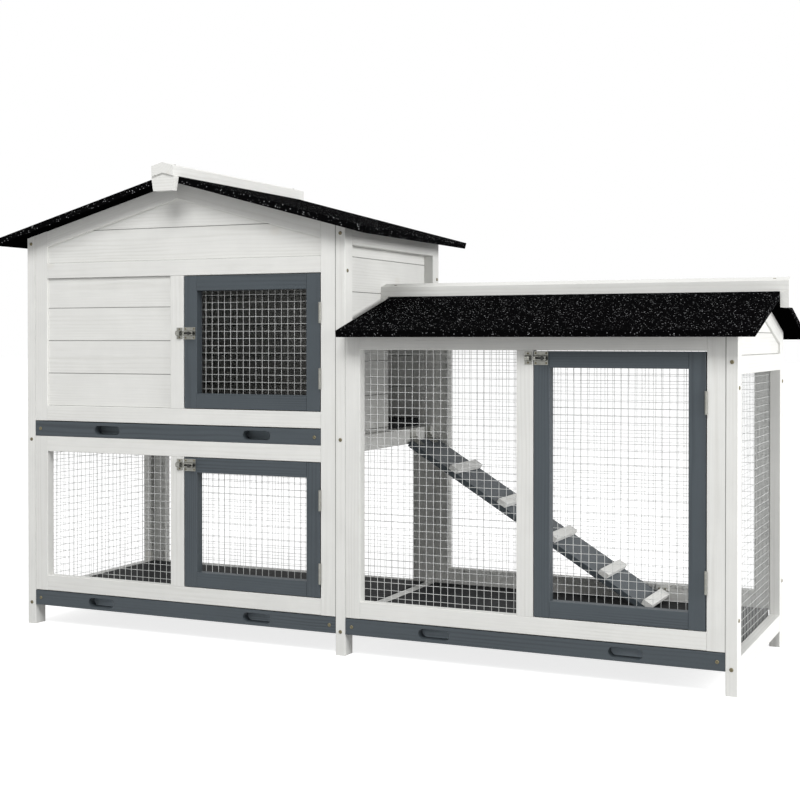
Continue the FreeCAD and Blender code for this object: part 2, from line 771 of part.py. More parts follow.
def on_ramp(s, n):
    """Point s along the ramp and n above its hinge axis, as X and Z."""
    x = ramp_axis_x + s * math.cos(ramp_pitch) + n * math.sin(ramp_pitch)
    z = ramp_axis_z - s * math.sin(ramp_pitch) + n * math.cos(ramp_pitch)
    return (x, z)


def slab(s0, s1, n0, n1, y0, y1):
    return prism_y([on_ramp(s0, n0), on_ramp(s1, n0), on_ramp(s1, n1), on_ramp(s0, n1)], y0, y1)


def eased_slab(s0, s1, n0, n1, y0, y1, direction):
    return eased(slab(s0, s1, n0, n1, y0, y1), direction)


down_ramp = V(math.cos(ramp_pitch), 0, -math.sin(ramp_pitch))
add("ramp_board", eased_slab(ramp_end_gap, ramp_end, ramp_top - ramp_t, ramp_top,
                             ramp_y0, ramp_y1, down_ramp))
cleat_places = [cleat_first + cleat_pitch * i for i in range(cleats_between)]
cleat_places.append(ramp_end + cleat_overhang - cleat_w / 2)
for place in cleat_places:
    s0 = place - cleat_w / 2
    add("ramp_cleats", eased_slab(s0, s0 + cleat_w, ramp_top, ramp_top + cleat_t,
                                  ramp_y0, ramp_y1, along_y))


def ramp_hinge(y0):
    """Small hinge between the middle rail's face and the ramp's top."""
    axis = V(ramp_axis_x, y0, ramp_axis_z)
    third = ramp_hinge_w / 3
    tall = third - knuckle_gap
    rail_leaf = box(house_x1, house_x1 + ramp_leaf_t, y0, y0 + ramp_hinge_w,
                    ramp_axis_z + knuckle_r + ramp_pin_gap, side_mid_top - ease)
    board_leaf = slab(knuckle_r + ramp_pin_gap, ramp_end_gap + ramp_leaf_l,
                      ramp_top, ramp_top + ramp_leaf_t, y0, y0 + ramp_hinge_w)
    for part in range(3):
        low = y0 + part * third + knuckle_gap / 2
        barrel_part = Part.makeCylinder(knuckle_r, tall, V(ramp_axis_x, low, ramp_axis_z), along_y)
        if part == 1:
            tab = slab(0, knuckle_r + ramp_pin_gap, ramp_top + ramp_pin_gap, ramp_top + ramp_leaf_t,
                       low, low + tall)
            board_leaf = board_leaf.fuse(barrel_part).fuse(tab)
        else:
            tab = box(house_x1, house_x1 + ramp_leaf_t, low, low + tall, ramp_axis_z,
                      ramp_axis_z + knuckle_r + ramp_pin_gap)
            rail_leaf = rail_leaf.fuse(barrel_part).fuse(tab)
    bore = Part.makeCylinder(hinge_pin_r + pin_clearance, ramp_hinge_w, axis, along_y)
    add("hinge_frame_leaves", rail_leaf.cut(bore).removeSplitter())
    add("ramp_hinge_leaves", board_leaf.cut(bore).removeSplitter())
    add("hinge_pins", Part.makeCylinder(hinge_pin_r, ramp_hinge_w, axis, along_y))


ramp_hinge(ramp_y0 + ramp_hinge_inset)
ramp_hinge(ramp_y1 - ramp_hinge_inset - ramp_hinge_w)

block_x0 = run_x0 + block_centre - block_w / 2
block_y1 = rear_y - wire_d
block_y0 = block_y1 - block_t
block_z0 = low_bay_z - block_h
add("inner_battens", member(block_x0, block_x0 + block_w, block_y0, block_y1, block_z0, low_bay_z, along_x))


# Screws, each with the hole that it sits in

def screw(name, at, direction, holders, length=screw_l, r=screw_r, head_r=screw_head_r):
    """Round-headed screw at a face, driven along direction into the nodes named in holders."""
    head = Part.makeCone(head_r, head_r / 2, screw_head_t, at, -direction)
    shank = Part.makeCylinder(r, length, at, direction)
    hole = Part.makeCylinder(r + screw_play, length + screw_play, at, direction)
    add(name, head.fuse(shank).removeSplitter())
    for holder in holders:
        nodes[holder] = [drilled(solid, hole) for solid in nodes[holder]]


def drilled(solid, hole):
    if solid.BoundBox.intersect(hole.BoundBox) and solid.common(hole).Volume > 0:
        return solid.cut(hole).Solids[0]
    return solid


inward = along_y
left_post_x = stock_t / 2
centre_post_x = house_in_x1 + stock_t / 2
end_post_x = run_x1 + stock_t / 2
house_screw_top = house_side_h - post_screw_drop
end_screw_top = run_side_h - end_post_screw_drop
rear_inward = -along_y
frames = ("left_side_frame", "right_side_frame", "run_end_frame")
post_screws = (
    (left_post_x, (house_screw_top, side_mid_z + left_mid_screw_rise, post_screw_foot)),
    (centre_post_x, (house_screw_top, side_mid_z + centre_mid_screw_rise, post_screw_foot)),
    (end_post_x, (end_screw_top, post_screw_foot)),
)
for x, heights in post_screws:
    for z in heights:
        screw("frame_screws", V(x, 0, z), inward, frames)
        screw("frame_screws", V(x, frame_depth, z), rear_inward, frames)

edge_y = stock_t / 2
house_side_screw_z = house_side_h - house_side_screw_drop
for y in (edge_y, frame_depth - edge_y):
    for x, direction in ((0, along_x), (house_x1, -along_x)):
        screw("frame_screws", V(x, y, house_side_screw_z), direction,
              ("left_side_frame", "right_side_frame", front, rear))
    for z in (end_rail_z + end_side_screw_rise, end_window_top - end_side_screw_drop):
        screw("frame_screws", V(run_end_x, y, z), -along_x, ("run_end_frame", run_front, run_rear))

for name, x0, x1, z in (
    ("upper_tray", house_in_x0, upper_tray_x1, upper_mid),
    ("lower_tray", house_in_x0, house_in_x1, lower_mid),
    ("run_tray", run_x0, run_x1, run_mid),
):
    for x in (x0 + tray_screw_inset, x1 - tray_screw_inset):
        screw(name + "_screws", V(x, 0, z), along_y, (name + "_front", name + "_floor"))

add("house_ridge_cap", house_cap)
add("run_ridge_cap", run_cap)
cap_screw_side = cap_w / 4
house_cap_z = house_apex + cap_h - cap_screw_side * math.tan(house_pitch)
run_cap_z = run_apex + cap_h - cap_screw_side * math.tan(run_pitch)
house_cap_down = V(-math.sin(house_pitch), 0, -math.cos(house_pitch))
run_cap_down = V(0, math.sin(run_pitch), -math.cos(run_pitch))
for y in (house_cap_y0 + cap_screw_inset, house_cap_y1 - cap_screw_inset):
    screw("frame_screws", V(ridge_x + cap_screw_side, y, house_cap_z), house_cap_down,
          ("house_ridge_cap",), length=cap_screw_l)
for x in (house_in_x1 + cap_screw_inset, run_cap_x1 - cap_screw_inset):
    screw("frame_screws", V(x, ridge_y - cap_screw_side, run_cap_z), run_cap_down,
          ("run_ridge_cap",), length=cap_screw_l)

block_x = block_x0 + block_w / 2
for x in (block_x - block_screw_span / 2, block_x + block_screw_span / 2):
    screw("frame_screws", V(x, block_y0, block_z0 + block_h / 3), along_y, ("inner_battens",),
          length=block_t - screw_play * 2, r=block_screw_r, head_r=block_screw_head_r)


# Move every node so that the origin is the bottom centre of the hutch, and write the files

low_x = ridge_x - house_reach
high_x = run_cap_x1
low_y = house_cap_y0
high_y = ridge_y + run_rear_reach
to_origin = V(-(low_x + high_x) / 2, -(low_y + high_y) / 2, 0)

os.makedirs("parts", exist_ok=True)
for name, solids in nodes.items():
    shape = solids[0] if len(solids) == 1 else Part.makeCompound(solids)
    shape.translate(to_origin)
    shape.exportStep("parts/" + name + ".step")
    print(name, len(solids), round(sum(s.Volume for s in solids)), all(s.isValid() for s in solids))
print("nodes", len(nodes), "origin shift", to_origin)
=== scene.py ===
"""Paint, felt, wire and ironwork for a guinea pig hutch with a run."""

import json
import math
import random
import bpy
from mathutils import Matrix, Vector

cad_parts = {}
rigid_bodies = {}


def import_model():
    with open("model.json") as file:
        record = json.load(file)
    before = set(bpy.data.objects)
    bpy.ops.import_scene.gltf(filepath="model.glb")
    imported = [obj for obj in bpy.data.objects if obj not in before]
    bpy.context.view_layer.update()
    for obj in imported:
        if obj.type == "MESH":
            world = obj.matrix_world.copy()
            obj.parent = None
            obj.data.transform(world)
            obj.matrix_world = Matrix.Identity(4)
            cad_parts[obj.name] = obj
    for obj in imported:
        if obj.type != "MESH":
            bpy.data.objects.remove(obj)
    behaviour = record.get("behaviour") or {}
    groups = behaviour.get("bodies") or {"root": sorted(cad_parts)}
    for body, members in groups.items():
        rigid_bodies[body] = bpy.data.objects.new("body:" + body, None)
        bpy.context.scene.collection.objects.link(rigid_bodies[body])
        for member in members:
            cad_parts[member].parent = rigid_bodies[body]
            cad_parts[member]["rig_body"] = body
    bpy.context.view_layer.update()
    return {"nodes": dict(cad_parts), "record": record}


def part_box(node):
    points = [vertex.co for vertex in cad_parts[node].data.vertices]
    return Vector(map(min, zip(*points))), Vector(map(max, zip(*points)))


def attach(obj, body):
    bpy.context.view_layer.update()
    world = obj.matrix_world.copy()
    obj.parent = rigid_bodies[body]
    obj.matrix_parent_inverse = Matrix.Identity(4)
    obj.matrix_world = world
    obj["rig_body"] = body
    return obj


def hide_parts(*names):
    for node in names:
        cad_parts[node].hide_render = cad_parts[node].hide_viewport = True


bl_info = {
    "name": "Guinea Pig Hutch with Run",
    "version": (1, 0, 0),
    "blender": (4, 5, 0),
    "location": "View3D > Sidebar > Hutch",
    "description": "Dresses the hutch's solids with painted timber, roof felt, welded wire and fittings",
    "category": "Object",
}

import bmesh
import bpy
from bpy.props import FloatProperty, FloatVectorProperty, IntProperty, PointerProperty
from bpy.types import Operator, Panel, PropertyGroup
from mathutils import Euler, Vector
from mathutils.bvhtree import BVHTree

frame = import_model()

MM = 0.001
CAD_NODES = frame["nodes"]
SLOT_OF = {s["node"]: s["material_slot"] for s in frame["record"]["subparts"]}
WOODEN = ("white_paint", "grey_paint", "roof_board", "inner_wood")
FINISHES = {}

# Seeds of the random draws
TIMBER_SEED = 11
WIRE_SEED = 23
SCREW_SEED = 5
FITTING_SEED = 7

# Range that most values of a noise lie in
NOISE_LOW = 0.3
NOISE_HIGH = 0.7

# Places of the colour sockets of a Mix node, which has several sockets of each name
MIX_FACTOR = 0
MIX_FIRST = 6
MIX_SECOND = 7
MIX_RESULT = 2

# Where an eased edge is tested for a member beside it, and how many tests have to find one before the
# edge gets painted shade
SEAM_TESTS = (0.04, 0.25, 0.5, 0.75, 0.96)
SEAM_HITS = 4


# Settings

def colour(name, description, default):
    return FloatVectorProperty(name=name, description=description, default=default,
                               subtype="COLOR", size=3, min=0.0, max=1.0)


def length(name, description, default):
    return FloatProperty(name=name, description=description, default=default,
                         min=0.0, unit="LENGTH", subtype="DISTANCE", precision=5)


def share(name, description, default):
    return FloatProperty(name=name, description=description, default=default,
                         min=0.0, max=1.0, subtype="FACTOR")


def power(name, description, default):
    return FloatProperty(name=name, description=description, default=default,
                         min=0.0, unit="POWER")


class HutchPaint(PropertyGroup):
    """Colours of the painted timber and how far the wood shows"""

    white: colour("White Paint", "Paint on the frames, wall boards and ridge caps", (0.74, 0.74, 0.715))
    white_streak: colour("White Streak", "Darker grain seen through the white paint", (0.55, 0.54, 0.50))
    knot: colour("Knot", "Stain of the knots seen through the white paint", (0.58, 0.52, 0.42))
    grey: colour("Grey Paint", "Paint on the doors, tray fronts and ramp", (0.060, 0.073, 0.083))
    grey_streak: colour("Grey Streak", "Darker grain seen through the grey paint", (0.036, 0.043, 0.050))
    # Painted light: the battens behind the finger slots are lighter than the tray fronts, standing in for
    # light that hardly reaches into the slots
    batten_painted_light: colour("Tray Batten", "Lighter coat behind the finger slots", (0.30, 0.35, 0.39))
    # Near-black colour of the roof boards, set darker than the felt and with no shine, so the undersides
    # of the eaves render black
    board: colour("Roof Board", "Stain under the roofs", (0.0010, 0.0010, 0.0011))
    # Painted shade: how dark the eased edges get in the joints between two members that touch
    seam: share("Seam", "How dark the eased edges get between two members that touch", 0.62)
    grain: share("Grain", "How strongly the grain shows through the white paint", 0.28)
    knots: share("Knots", "How strongly the knots show through the white paint", 0.35)
    ring: length("Ring Spacing", "Distance between the growth rings", 0.0042)


class HutchFelt(PropertyGroup):
    """Roof felt"""

    felt: colour("Felt", "Asphalt of the roof felt", (0.0015, 0.0015, 0.0017))
    worn: colour("Worn Felt", "Asphalt where the felt is rubbed", (0.0050, 0.0050, 0.0052))
    grit: colour("Grit", "Mineral grit on the felt", (0.55, 0.56, 0.57))
    grit_size: length("Grit Size", "Size of a grain's place on the felt", 0.0020)
    grit_share: share("Grit Share", "Share of the places that hold a grain", 0.20)
    fold: length("Fold", "Radius of the felt's folds", 0.0011)


class HutchWire(PropertyGroup):
    """Welded wire mesh and its staples"""

    pitch: length("Pitch", "Distance between two wires", 0.0127)
    radius: length("Wire Radius", "Radius of a wire", 0.0004)
    wander: length("Wander", "How far a wire strays from its straight line", 0.0002)
    sides: IntProperty(name="Sides", description="Faces round a wire", default=6, min=3, max=12)
    staple_gap: length("Staple Gap", "Distance between two staples", 0.066)
    staple: length("Staple Crown", "Length of a staple's crown", 0.0085)
    inset: length("Staple Inset", "Distance from a staple to the edge of its panel", 0.0042)
    zinc: colour("Zinc", "Galvanised wire", (0.66, 0.67, 0.66))


class HutchFittings(PropertyGroup):
    """Hinges, bolts, screws and the sheet of the trays"""

    head_radius: length("Head Radius", "Radius of a frame screw's head", 0.0033)
    head_height: length("Head Height", "Height of a frame screw's head", 0.0014)
    small_radius: length("Small Head Radius", "Radius of the heads on the bolts' plates", 0.0016)
    small_height: length("Small Head Height", "Height of the heads on the bolts' plates", 0.0008)
    margin: length("Screw Margin", "Distance from a small head to the edge of its plate", 0.0012)
    steel: colour("Steel", "Pressed and plated fittings", (0.27, 0.27, 0.245))
    # Painted shade: the bolts' rods are darkened to stand in for the shade round them in their housings
    rod_painted_shade: colour("Bolt Rod", "Darker plating of the bolts' rods", (0.035, 0.035, 0.033))
    brass: colour("Brass", "Dull plating of the screws", (0.17, 0.15, 0.095))
    sheet: colour("Tray Sheet", "Dark sheet of the floors", (0.010, 0.011, 0.012))
    cloud: colour("Sheet Cloud", "Lighter clouds on the sheet", (0.017, 0.018, 0.019))
    scratch: colour("Scratch", "Scratches on the sheet", (0.045, 0.045, 0.045))


class HutchStage(PropertyGroup):
    """Floor, lights and camera"""

    floor: colour("Floor", "Colour of the floor", (0.55, 0.55, 0.55))
    lift: share("Floor Lift", "White that the camera sees on the floor beside its own light", 0.80)
    world: FloatProperty(name="World", description="Strength of the light from all round",
                         default=0.42, min=0.0)
    high: power("High Lamp", "Power of the large lamp high in front", 143.0)
    side: power("Side Lamp", "Power of the lamp at the right end", 162.0)
    lens: FloatProperty(name="Lens", description="Focal length of the camera", default=62.82,
                        min=1.0, unit="CAMERA")


def settings(kind):
    return getattr(bpy.context.scene, "hutch_" + kind)


# Shader trees

def new_group(name, inputs, outputs):
    """Shader node group with (name, kind, default) inputs and (name, kind) outputs."""
    tree = bpy.data.node_groups.new(name, "ShaderNodeTree")
    for label, kind, default in inputs:
        socket = tree.interface.new_socket(label, in_out="INPUT", socket_type="NodeSocket" + kind)
        if default is not None:
            socket.default_value = default
    for label, kind in outputs:
        tree.interface.new_socket(label, in_out="OUTPUT", socket_type="NodeSocket" + kind)
    return tree, tree.nodes.new("NodeGroupInput").outputs, tree.nodes.new("NodeGroupOutput").inputs


def feed(tree, socket, value):
    """Links an input socket to an output, or sets it to a plain value."""
    if isinstance(value, bpy.types.NodeSocket):
        tree.links.new(value, socket)
    else:
        socket.default_value = value


def put(tree, kind, fed=None, **properties):
    """Node of a kind, with its properties, and links or values for its input sockets."""
    node = tree.nodes.new("ShaderNode" + kind)
    for key, value in properties.items():
        setattr(node, key, value)
    for key, value in (fed or {}).items():
        feed(tree, node.inputs[key], value)
    return node


def use_group(tree, name, fed):
    """Outputs of a node that uses a group."""
    node = tree.nodes.new("ShaderNodeGroup")
    node.node_tree = bpy.data.node_groups[name]
    for key, value in fed.items():
        feed(tree, node.inputs[key], value)
    return node.outputs


def maths(tree, operation, a, b):
    return put(tree, "Math", {0: a, 1: b}, operation=operation).outputs[0]


def product(tree, a, b):
    return maths(tree, "MULTIPLY", a, b)


def spread(tree, value, low, high, to_low=0.0, to_high=1.0):
    """Value carried from the range low to high into the range to_low to to_high."""
    return put(tree, "MapRange", {"Value": value, "From Min": low, "From Max": high,
                                  "To Min": to_low, "To Max": to_high}).outputs["Result"]


def from_noise(tree, value, to_low, to_high):
    """Value of a noise carried into the range to_low to to_high."""
    return spread(tree, value, NOISE_LOW, NOISE_HIGH, to_low, to_high)


def mapped(tree, vector, scale):
    return put(tree, "Mapping", {"Vector": vector, "Scale": scale}).outputs[0]


def noise(tree, vector, scale, detail=2.0, roughness=0.5):
    """Outputs of a noise texture."""
    return put(tree, "TexNoise", {"Vector": vector, "Scale": scale, "Detail": detail,
                                  "Roughness": roughness}).outputs


def blend(tree, factor, a, b, mode="MIX"):
    """Colour between a and b, or what another mode makes of them."""
    fed = {MIX_FACTOR: factor, MIX_FIRST: a, MIX_SECOND: b}
    return put(tree, "Mix", fed, data_type="RGBA", blend_type=mode).outputs[MIX_RESULT]


def shaded(tree, shown, level):
    """Colour made lighter or darker by a level."""
    grey = put(tree, "CombineColor", {"Red": level, "Green": level, "Blue": level}).outputs[0]
    return blend(tree, 1.0, shown, grey, "MULTIPLY")


def rgba(values):
    return (*values, 1.0)


def timber_grain_group():
    """Growth rings, fibres and knots along X of the vector it is given, in metres."""
    tree, into, out = new_group(
        "timber_grain",
        [("Vector", "Vector", None), ("Ring Spacing", "Float", 0.004), ("Knot Size", "Float", 0.007)],
        [("Streaks", "Float"), ("Fibres", "Float"), ("Knots", "Float")],
    )
    drawn_out = 0.11
    ring_scale = 0.314
    late_wood = 2.2
    patch_scale = 28.0
    fibre_scale = (14.0, 620.0, 620.0)
    knot_scale = (5.5, 13.0, 9.0)
    knot_reach = 14.0
    knot_edge = 0.8

    drawn = mapped(tree, into["Vector"], (drawn_out, 1.0, 1.0))
    per_metre = maths(tree, "DIVIDE", ring_scale, into["Ring Spacing"])
    rings = put(
        tree, "TexWave",
        {"Vector": drawn, "Scale": per_metre, "Distortion": 5.5, "Detail": 2.0,
         "Detail Scale": 0.55, "Detail Roughness": 0.5},
        wave_type="RINGS", rings_direction="X",
    ).outputs["Fac"]
    patches = spread(tree, noise(tree, drawn, patch_scale)["Fac"], 0.35, 0.68)
    feed(tree, out["Streaks"], product(tree, maths(tree, "POWER", rings, late_wood), patches))

    thin = mapped(tree, into["Vector"], fibre_scale)
    feed(tree, out["Fibres"], noise(tree, thin, 1.0, detail=3.0, roughness=0.6)["Fac"])

    spots = mapped(tree, into["Vector"], knot_scale)
    cells = put(tree, "TexVoronoi", {"Vector": spots, "Scale": 1.0, "Randomness": 1.0}).outputs
    reach = product(tree, into["Knot Size"], knot_reach)
    near = spread(tree, cells["Distance"], reach, 0.0)
    feed(tree, out["Knots"], maths(tree, "POWER", near, knot_edge))


def mottle_group():
    """Slow cloudy variation in two sizes."""
    tree, into, out = new_group(
        "mottle",
        [("Vector", "Vector", None), ("Scale", "Float", 20.0)],
        [("Clouds", "Float"), ("Fine", "Float")],
    )
    finer = 17.0
    clouds = noise(tree, into["Vector"], into["Scale"], detail=3.0, roughness=0.55)
    fine = noise(tree, into["Vector"], product(tree, into["Scale"], finer))
    feed(tree, out["Clouds"], clouds["Fac"])
    feed(tree, out["Fine"], fine["Fac"])


def scuffs_group():
    """Fine scratches that run every way, for sheet and metal."""
    tree, into, out = new_group(
        "scuffs",
        [("Vector", "Vector", None), ("Density", "Float", 60.0)],
        [("Scratches", "Float")],
    )
    bend_scale = 9.0
    scratch_low = 0.64
    scratch_high = 0.72
    bend = noise(tree, into["Vector"], bend_scale)["Color"]
    bent = put(tree, "VectorMath", {0: into["Vector"], 1: bend}, operation="ADD").outputs[0]
    lines = []
    for stretch in ((1.0, 16.0, 5.0), (14.0, 1.0, 7.0)):
        streaks = noise(tree, mapped(tree, bent, stretch), into["Density"])["Fac"]
        lines.append(spread(tree, streaks, scratch_low, scratch_high))
    feed(tree, out["Scratches"], maths(tree, "MAXIMUM", *lines))


def scattered(tree, vector, scale, part, rim, core):
    """Spots in a part of a texture's cells, a random level for each, and the cells' distance."""
    cells = put(tree, "TexVoronoi", {"Vector": vector, "Scale": scale}).outputs
    lot = put(tree, "SeparateColor", {"Color": cells["Color"]}).outputs
    chosen = maths(tree, "LESS_THAN", lot[0], part)
    spot = spread(tree, cells["Distance"], rim, core)
    return product(tree, spot, chosen), lot[1], cells["Distance"]


def grit_group():
    """Scattered mineral grains of two sizes."""
    tree, into, out = new_group(
        "grit",
        [("Vector", "Vector", None), ("Scale", "Float", 400.0), ("Share", "Float", 0.1)],
        [("Grains", "Float"), ("Relief", "Float")],
    )
    flake_scale = 0.3
    flake_part = 0.12
    mostly_dark = 3.6
    grains, light, distance = scattered(tree, into["Vector"], into["Scale"], into["Share"],
                                        rim=0.55, core=0.12)
    small = product(tree, grains, maths(tree, "POWER", light, mostly_dark))

    wide = product(tree, into["Scale"], flake_scale)
    fewer = product(tree, into["Share"], flake_part)
    flakes, light, _ = scattered(tree, into["Vector"], wide, fewer, rim=0.20, core=0.10)
    large = product(tree, flakes, light)
    feed(tree, out["Grains"], maths(tree, "MAXIMUM", small, large))
    feed(tree, out["Relief"], spread(tree, distance, 0.0, 0.8, 1.0, 0.0))


def new_material(name, roughness, metallic=0.0, specular=0.5):
    """Shader tree and Principled shader of a new finish, which is kept under its name."""
    material = bpy.data.materials.new(name + "_finish")
    FINISHES[name] = material
    material.use_nodes = True
    shader = material.node_tree.nodes["Principled BSDF"]
    shader.inputs["Roughness"].default_value = roughness
    shader.inputs["Metallic"].default_value = metallic
    shader.inputs["Specular IOR Level"].default_value = specular
    return material.node_tree, shader


def add_bump(tree, shader, height, strength, distance):
    bump = put(tree, "Bump", {"Height": height, "Strength": strength, "Distance": distance})
    feed(tree, shader.inputs["Normal"], bump.outputs[0])


def painted_timber(name, base, streak, knot, grain, knots, roughness, relief, specular=0.3):
    """Paint over wood, with the grain along each member."""
    uneven = 0.06
    tree, shader = new_material(name, roughness, specular=specular)
    along = put(tree, "Attribute", attribute_name="grain").outputs["Vector"]
    tone = put(tree, "Attribute", attribute_name="tone").outputs["Fac"]
    seam = put(tree, "Attribute", attribute_name="seam").outputs["Fac"]
    wood = use_group(tree, "timber_grain", {"Vector": along, "Ring Spacing": settings("paint").ring})
    clouds = use_group(tree, "mottle", {"Vector": along, "Scale": 16.0})
    shown = blend(tree, product(tree, wood["Streaks"], grain), rgba(base), rgba(streak))
    shown = blend(tree, product(tree, wood["Knots"], knots), shown, rgba(knot))

    cloud_level = from_noise(tree, clouds["Clouds"], 0.965, 1.02)
    member_level = spread(tree, tone, -1.0, 1.0, -0.025, 0.02)
    fibre_level = from_noise(tree, wood["Fibres"], 0.97, 1.02)
    # Painted shade in the joints: eased edges beside another member are darkened
    seam_shade_level = spread(tree, seam, 0.0, 1.0, 1.0, 1.0 - settings("paint").seam)
    level = product(tree, maths(tree, "ADD", cloud_level, member_level), fibre_level)
    level = product(tree, level, seam_shade_level)
    feed(tree, shader.inputs["Base Color"], shaded(tree, shown, level))
    feed(tree, shader.inputs["Roughness"],
         from_noise(tree, clouds["Fine"], roughness - uneven, roughness + uneven))

    fibre_height = product(tree, wood["Fibres"], 0.5)
    streak_depth = product(tree, wood["Streaks"], 0.6)
    height = maths(tree, "SUBTRACT", fibre_height, streak_depth)
    add_bump(tree, shader, height, strength=relief, distance=0.0004)


def roof_felt():
    """Asphalt felt with mineral grit."""
    values = settings("felt")
    tree, shader = new_material("roof_felt", roughness=0.9, specular=0.0)
    place = put(tree, "TexCoord").outputs["Object"]
    grit = use_group(tree, "grit", {"Vector": place, "Scale": 1.0 / values.grit_size,
                                    "Share": values.grit_share})
    clouds = use_group(tree, "mottle", {"Vector": place, "Scale": 60.0})
    rubbed = spread(tree, clouds["Fine"], 0.42, 0.75)
    asphalt = blend(tree, rubbed, rgba(values.felt), rgba(values.worn))
    feed(tree, shader.inputs["Base Color"], blend(tree, grit["Grains"], asphalt, rgba(values.grit)))
    feed(tree, shader.inputs["Roughness"], from_noise(tree, clouds["Clouds"], 0.80, 0.93))
    add_bump(tree, shader, grit["Relief"], strength=0.7, distance=0.0006)


def zinc_metal(name, base, roughness, metallic, spangle):
    """Galvanised steel with its cloudy spangle."""
    smoother = 0.08
    rougher = 0.1
    scratched = 0.12
    tree, shader = new_material(name, roughness, metallic)
    place = put(tree, "TexCoord").outputs["Object"]
    clouds = use_group(tree, "mottle", {"Vector": place, "Scale": spangle})
    lines = use_group(tree, "scuffs", {"Vector": place, "Density": 160.0})
    level = from_noise(tree, clouds["Clouds"], 0.8, 1.05)
    feed(tree, shader.inputs["Base Color"], shaded(tree, rgba(base), level))
    rough = from_noise(tree, clouds["Fine"], roughness - smoother, roughness + rougher)
    rough = maths(tree, "ADD", rough, product(tree, lines["Scratches"], scratched))
    feed(tree, shader.inputs["Roughness"], rough)
    add_bump(tree, shader, clouds["Fine"], strength=0.08, distance=0.0002)


def tray_sheet():
    """Dull dark sheet with fine scratches."""
    scratched = 0.25
    values = settings("fittings")
    tree, shader = new_material("tray_sheet", roughness=0.7, specular=0.12)
    place = put(tree, "TexCoord").outputs["Object"]
    clouds = use_group(tree, "mottle", {"Vector": place, "Scale": 9.0})
    lines = use_group(tree, "scuffs", {"Vector": place, "Density": 45.0})
    cloudy = spread(tree, clouds["Clouds"], 0.35, 0.7)
    shown = blend(tree, cloudy, rgba(values.sheet), rgba(values.cloud))
    shown = blend(tree, product(tree, lines["Scratches"], scratched), shown, rgba(values.scratch))
    feed(tree, shader.inputs["Base Color"], shown)
    feed(tree, shader.inputs["Roughness"], from_noise(tree, clouds["Fine"], 0.62, 0.78))
    add_bump(tree, shader, clouds["Fine"], strength=0.1, distance=0.0003)


def seen_directly(tree):
    """One for rays from the camera, a mirror or glass, else zero."""
    rays = put(tree, "LightPath").outputs
    mirrored = maths(tree, "MAXIMUM", rays["Is Camera Ray"], rays["Is Glossy Ray"])
    return maths(tree, "MAXIMUM", mirrored, rays["Is Transmission Ray"])


# Mesh building

class Shape:
    """Corners and faces gathered for one piece."""

    def __init__(self):
        self.corners = []
        self.faces = []
        self.smooth = []

    def add(self, corners, faces, smooth=False):
        first = len(self.corners)
        self.corners.extend(Vector(c) for c in corners)
        self.faces.extend(tuple(first + i for i in face) for face in faces)
        self.smooth.extend([smooth] * len(faces))

    def piece(self, name, slot, body, *replaced):
        mesh = bpy.data.meshes.new(name)
        mesh.from_pydata(self.corners, [], self.faces)
        mesh.polygons.foreach_set("use_smooth", self.smooth)
        mesh.materials.append(FINISHES[slot])
        mesh.validate()
        return place(mesh, name, slot, body, *replaced)


def place(mesh, name, slot, body, *replaced):
    """Object of a finished mesh, riding on its body."""
    obj = bpy.data.objects.new(name, mesh)
    bpy.context.scene.collection.objects.link(obj)
    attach(obj, body)
    if replaced:
        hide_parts(*replaced)
    return obj


def body_of(node):
    return CAD_NODES[node]["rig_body"]


def across(direction):
    """Two directions square to one another and to direction."""
    nearly_upright = 0.9
    side = Vector((0, 0, 1)) if abs(direction.z) < nearly_upright else Vector((1, 0, 0))
    first = direction.cross(side).normalized()
    return first, direction.cross(first).normalized()


def add_rings(shape, corners, count):
    """Skin over rings of count corners each, closed at the first and the last ring."""
    faces = []
    for row in range(len(corners) // count - 1):
        for i in range(count):
            j = (i + 1) % count
            faces.append((row * count + i, row * count + j, (row + 1) * count + j, (row + 1) * count + i))
    shape.add(corners, faces, smooth=True)
    shape.add(corners[:count], [tuple(reversed(range(count)))])
    shape.add(corners[-count:], [tuple(range(count))])


def tube(shape, path, radius, sides):
    """Round bar along the points of a path, closed at its ends."""
    first, second = across((path[-1] - path[0]).normalized())
    turns = [math.tau * i / sides for i in range(sides)]
    ring = [first * math.cos(t) * radius + second * math.sin(t) * radius for t in turns]
    add_rings(shape, [point + arm for point in path for arm in ring], sides)


def grouped(items, neighbours):
    """Items in groups, each with all the items that neighbours leads to."""
    left = set(items)
    groups = []
    for start in items:
        if start not in left:
            continue
        left.discard(start)
        group = [start]
        for item in group:
            for other in neighbours(item):
                if other in left:
                    left.discard(other)
                    group.append(other)
        groups.append(group)
    return groups


def islands(bm):
    """Groups of joined vertices."""
    return grouped(bm.verts, lambda vertex: [e.other_vert(vertex) for e in vertex.link_edges])


def joined_mesh(node):
    """The node's mesh with its corners joined."""
    same_place = 2e-6
    bm = bmesh.new()
    bm.from_mesh(CAD_NODES[node].data)
    bmesh.ops.remove_doubles(bm, verts=bm.verts, dist=same_place)
    return bm


def span(vertices):
    """Lowest and highest corner of the box round some vertices."""
    low = Vector([min(v.co[i] for v in vertices) for i in range(3)])
    high = Vector([max(v.co[i] for v in vertices) for i in range(3)])
    return low, high


def boxes(node):
    """Lowest and highest corner of each solid in a node."""
    bm = joined_mesh(node)
    found = [span(group) for group in islands(bm)]
    bm.free()
    return sorted(found, key=lambda pair: tuple(round(c, 5) for c in pair[0]))


# Timber

def members(bm):
    """Faces of each member; members that touch at a corner or an edge stay apart."""
    def beside(face):
        shared = [e for e in face.edges if len(e.link_faces) == 2]
        return [other for e in shared for other in e.link_faces]
    return grouped(bm.faces, beside)


def member_direction(group):
    """Direction of the longest sharp edge of a member."""
    sharp = 0.15
    best = 0.0
    direction = Vector((1, 0, 0))
    for face in group:
        for edge in face.edges:
            run = edge.verts[1].co - edge.verts[0].co
            if run.length > best and edge.calc_face_angle(math.pi) > sharp:
                best = run.length
                direction = run.normalized()
    return direction


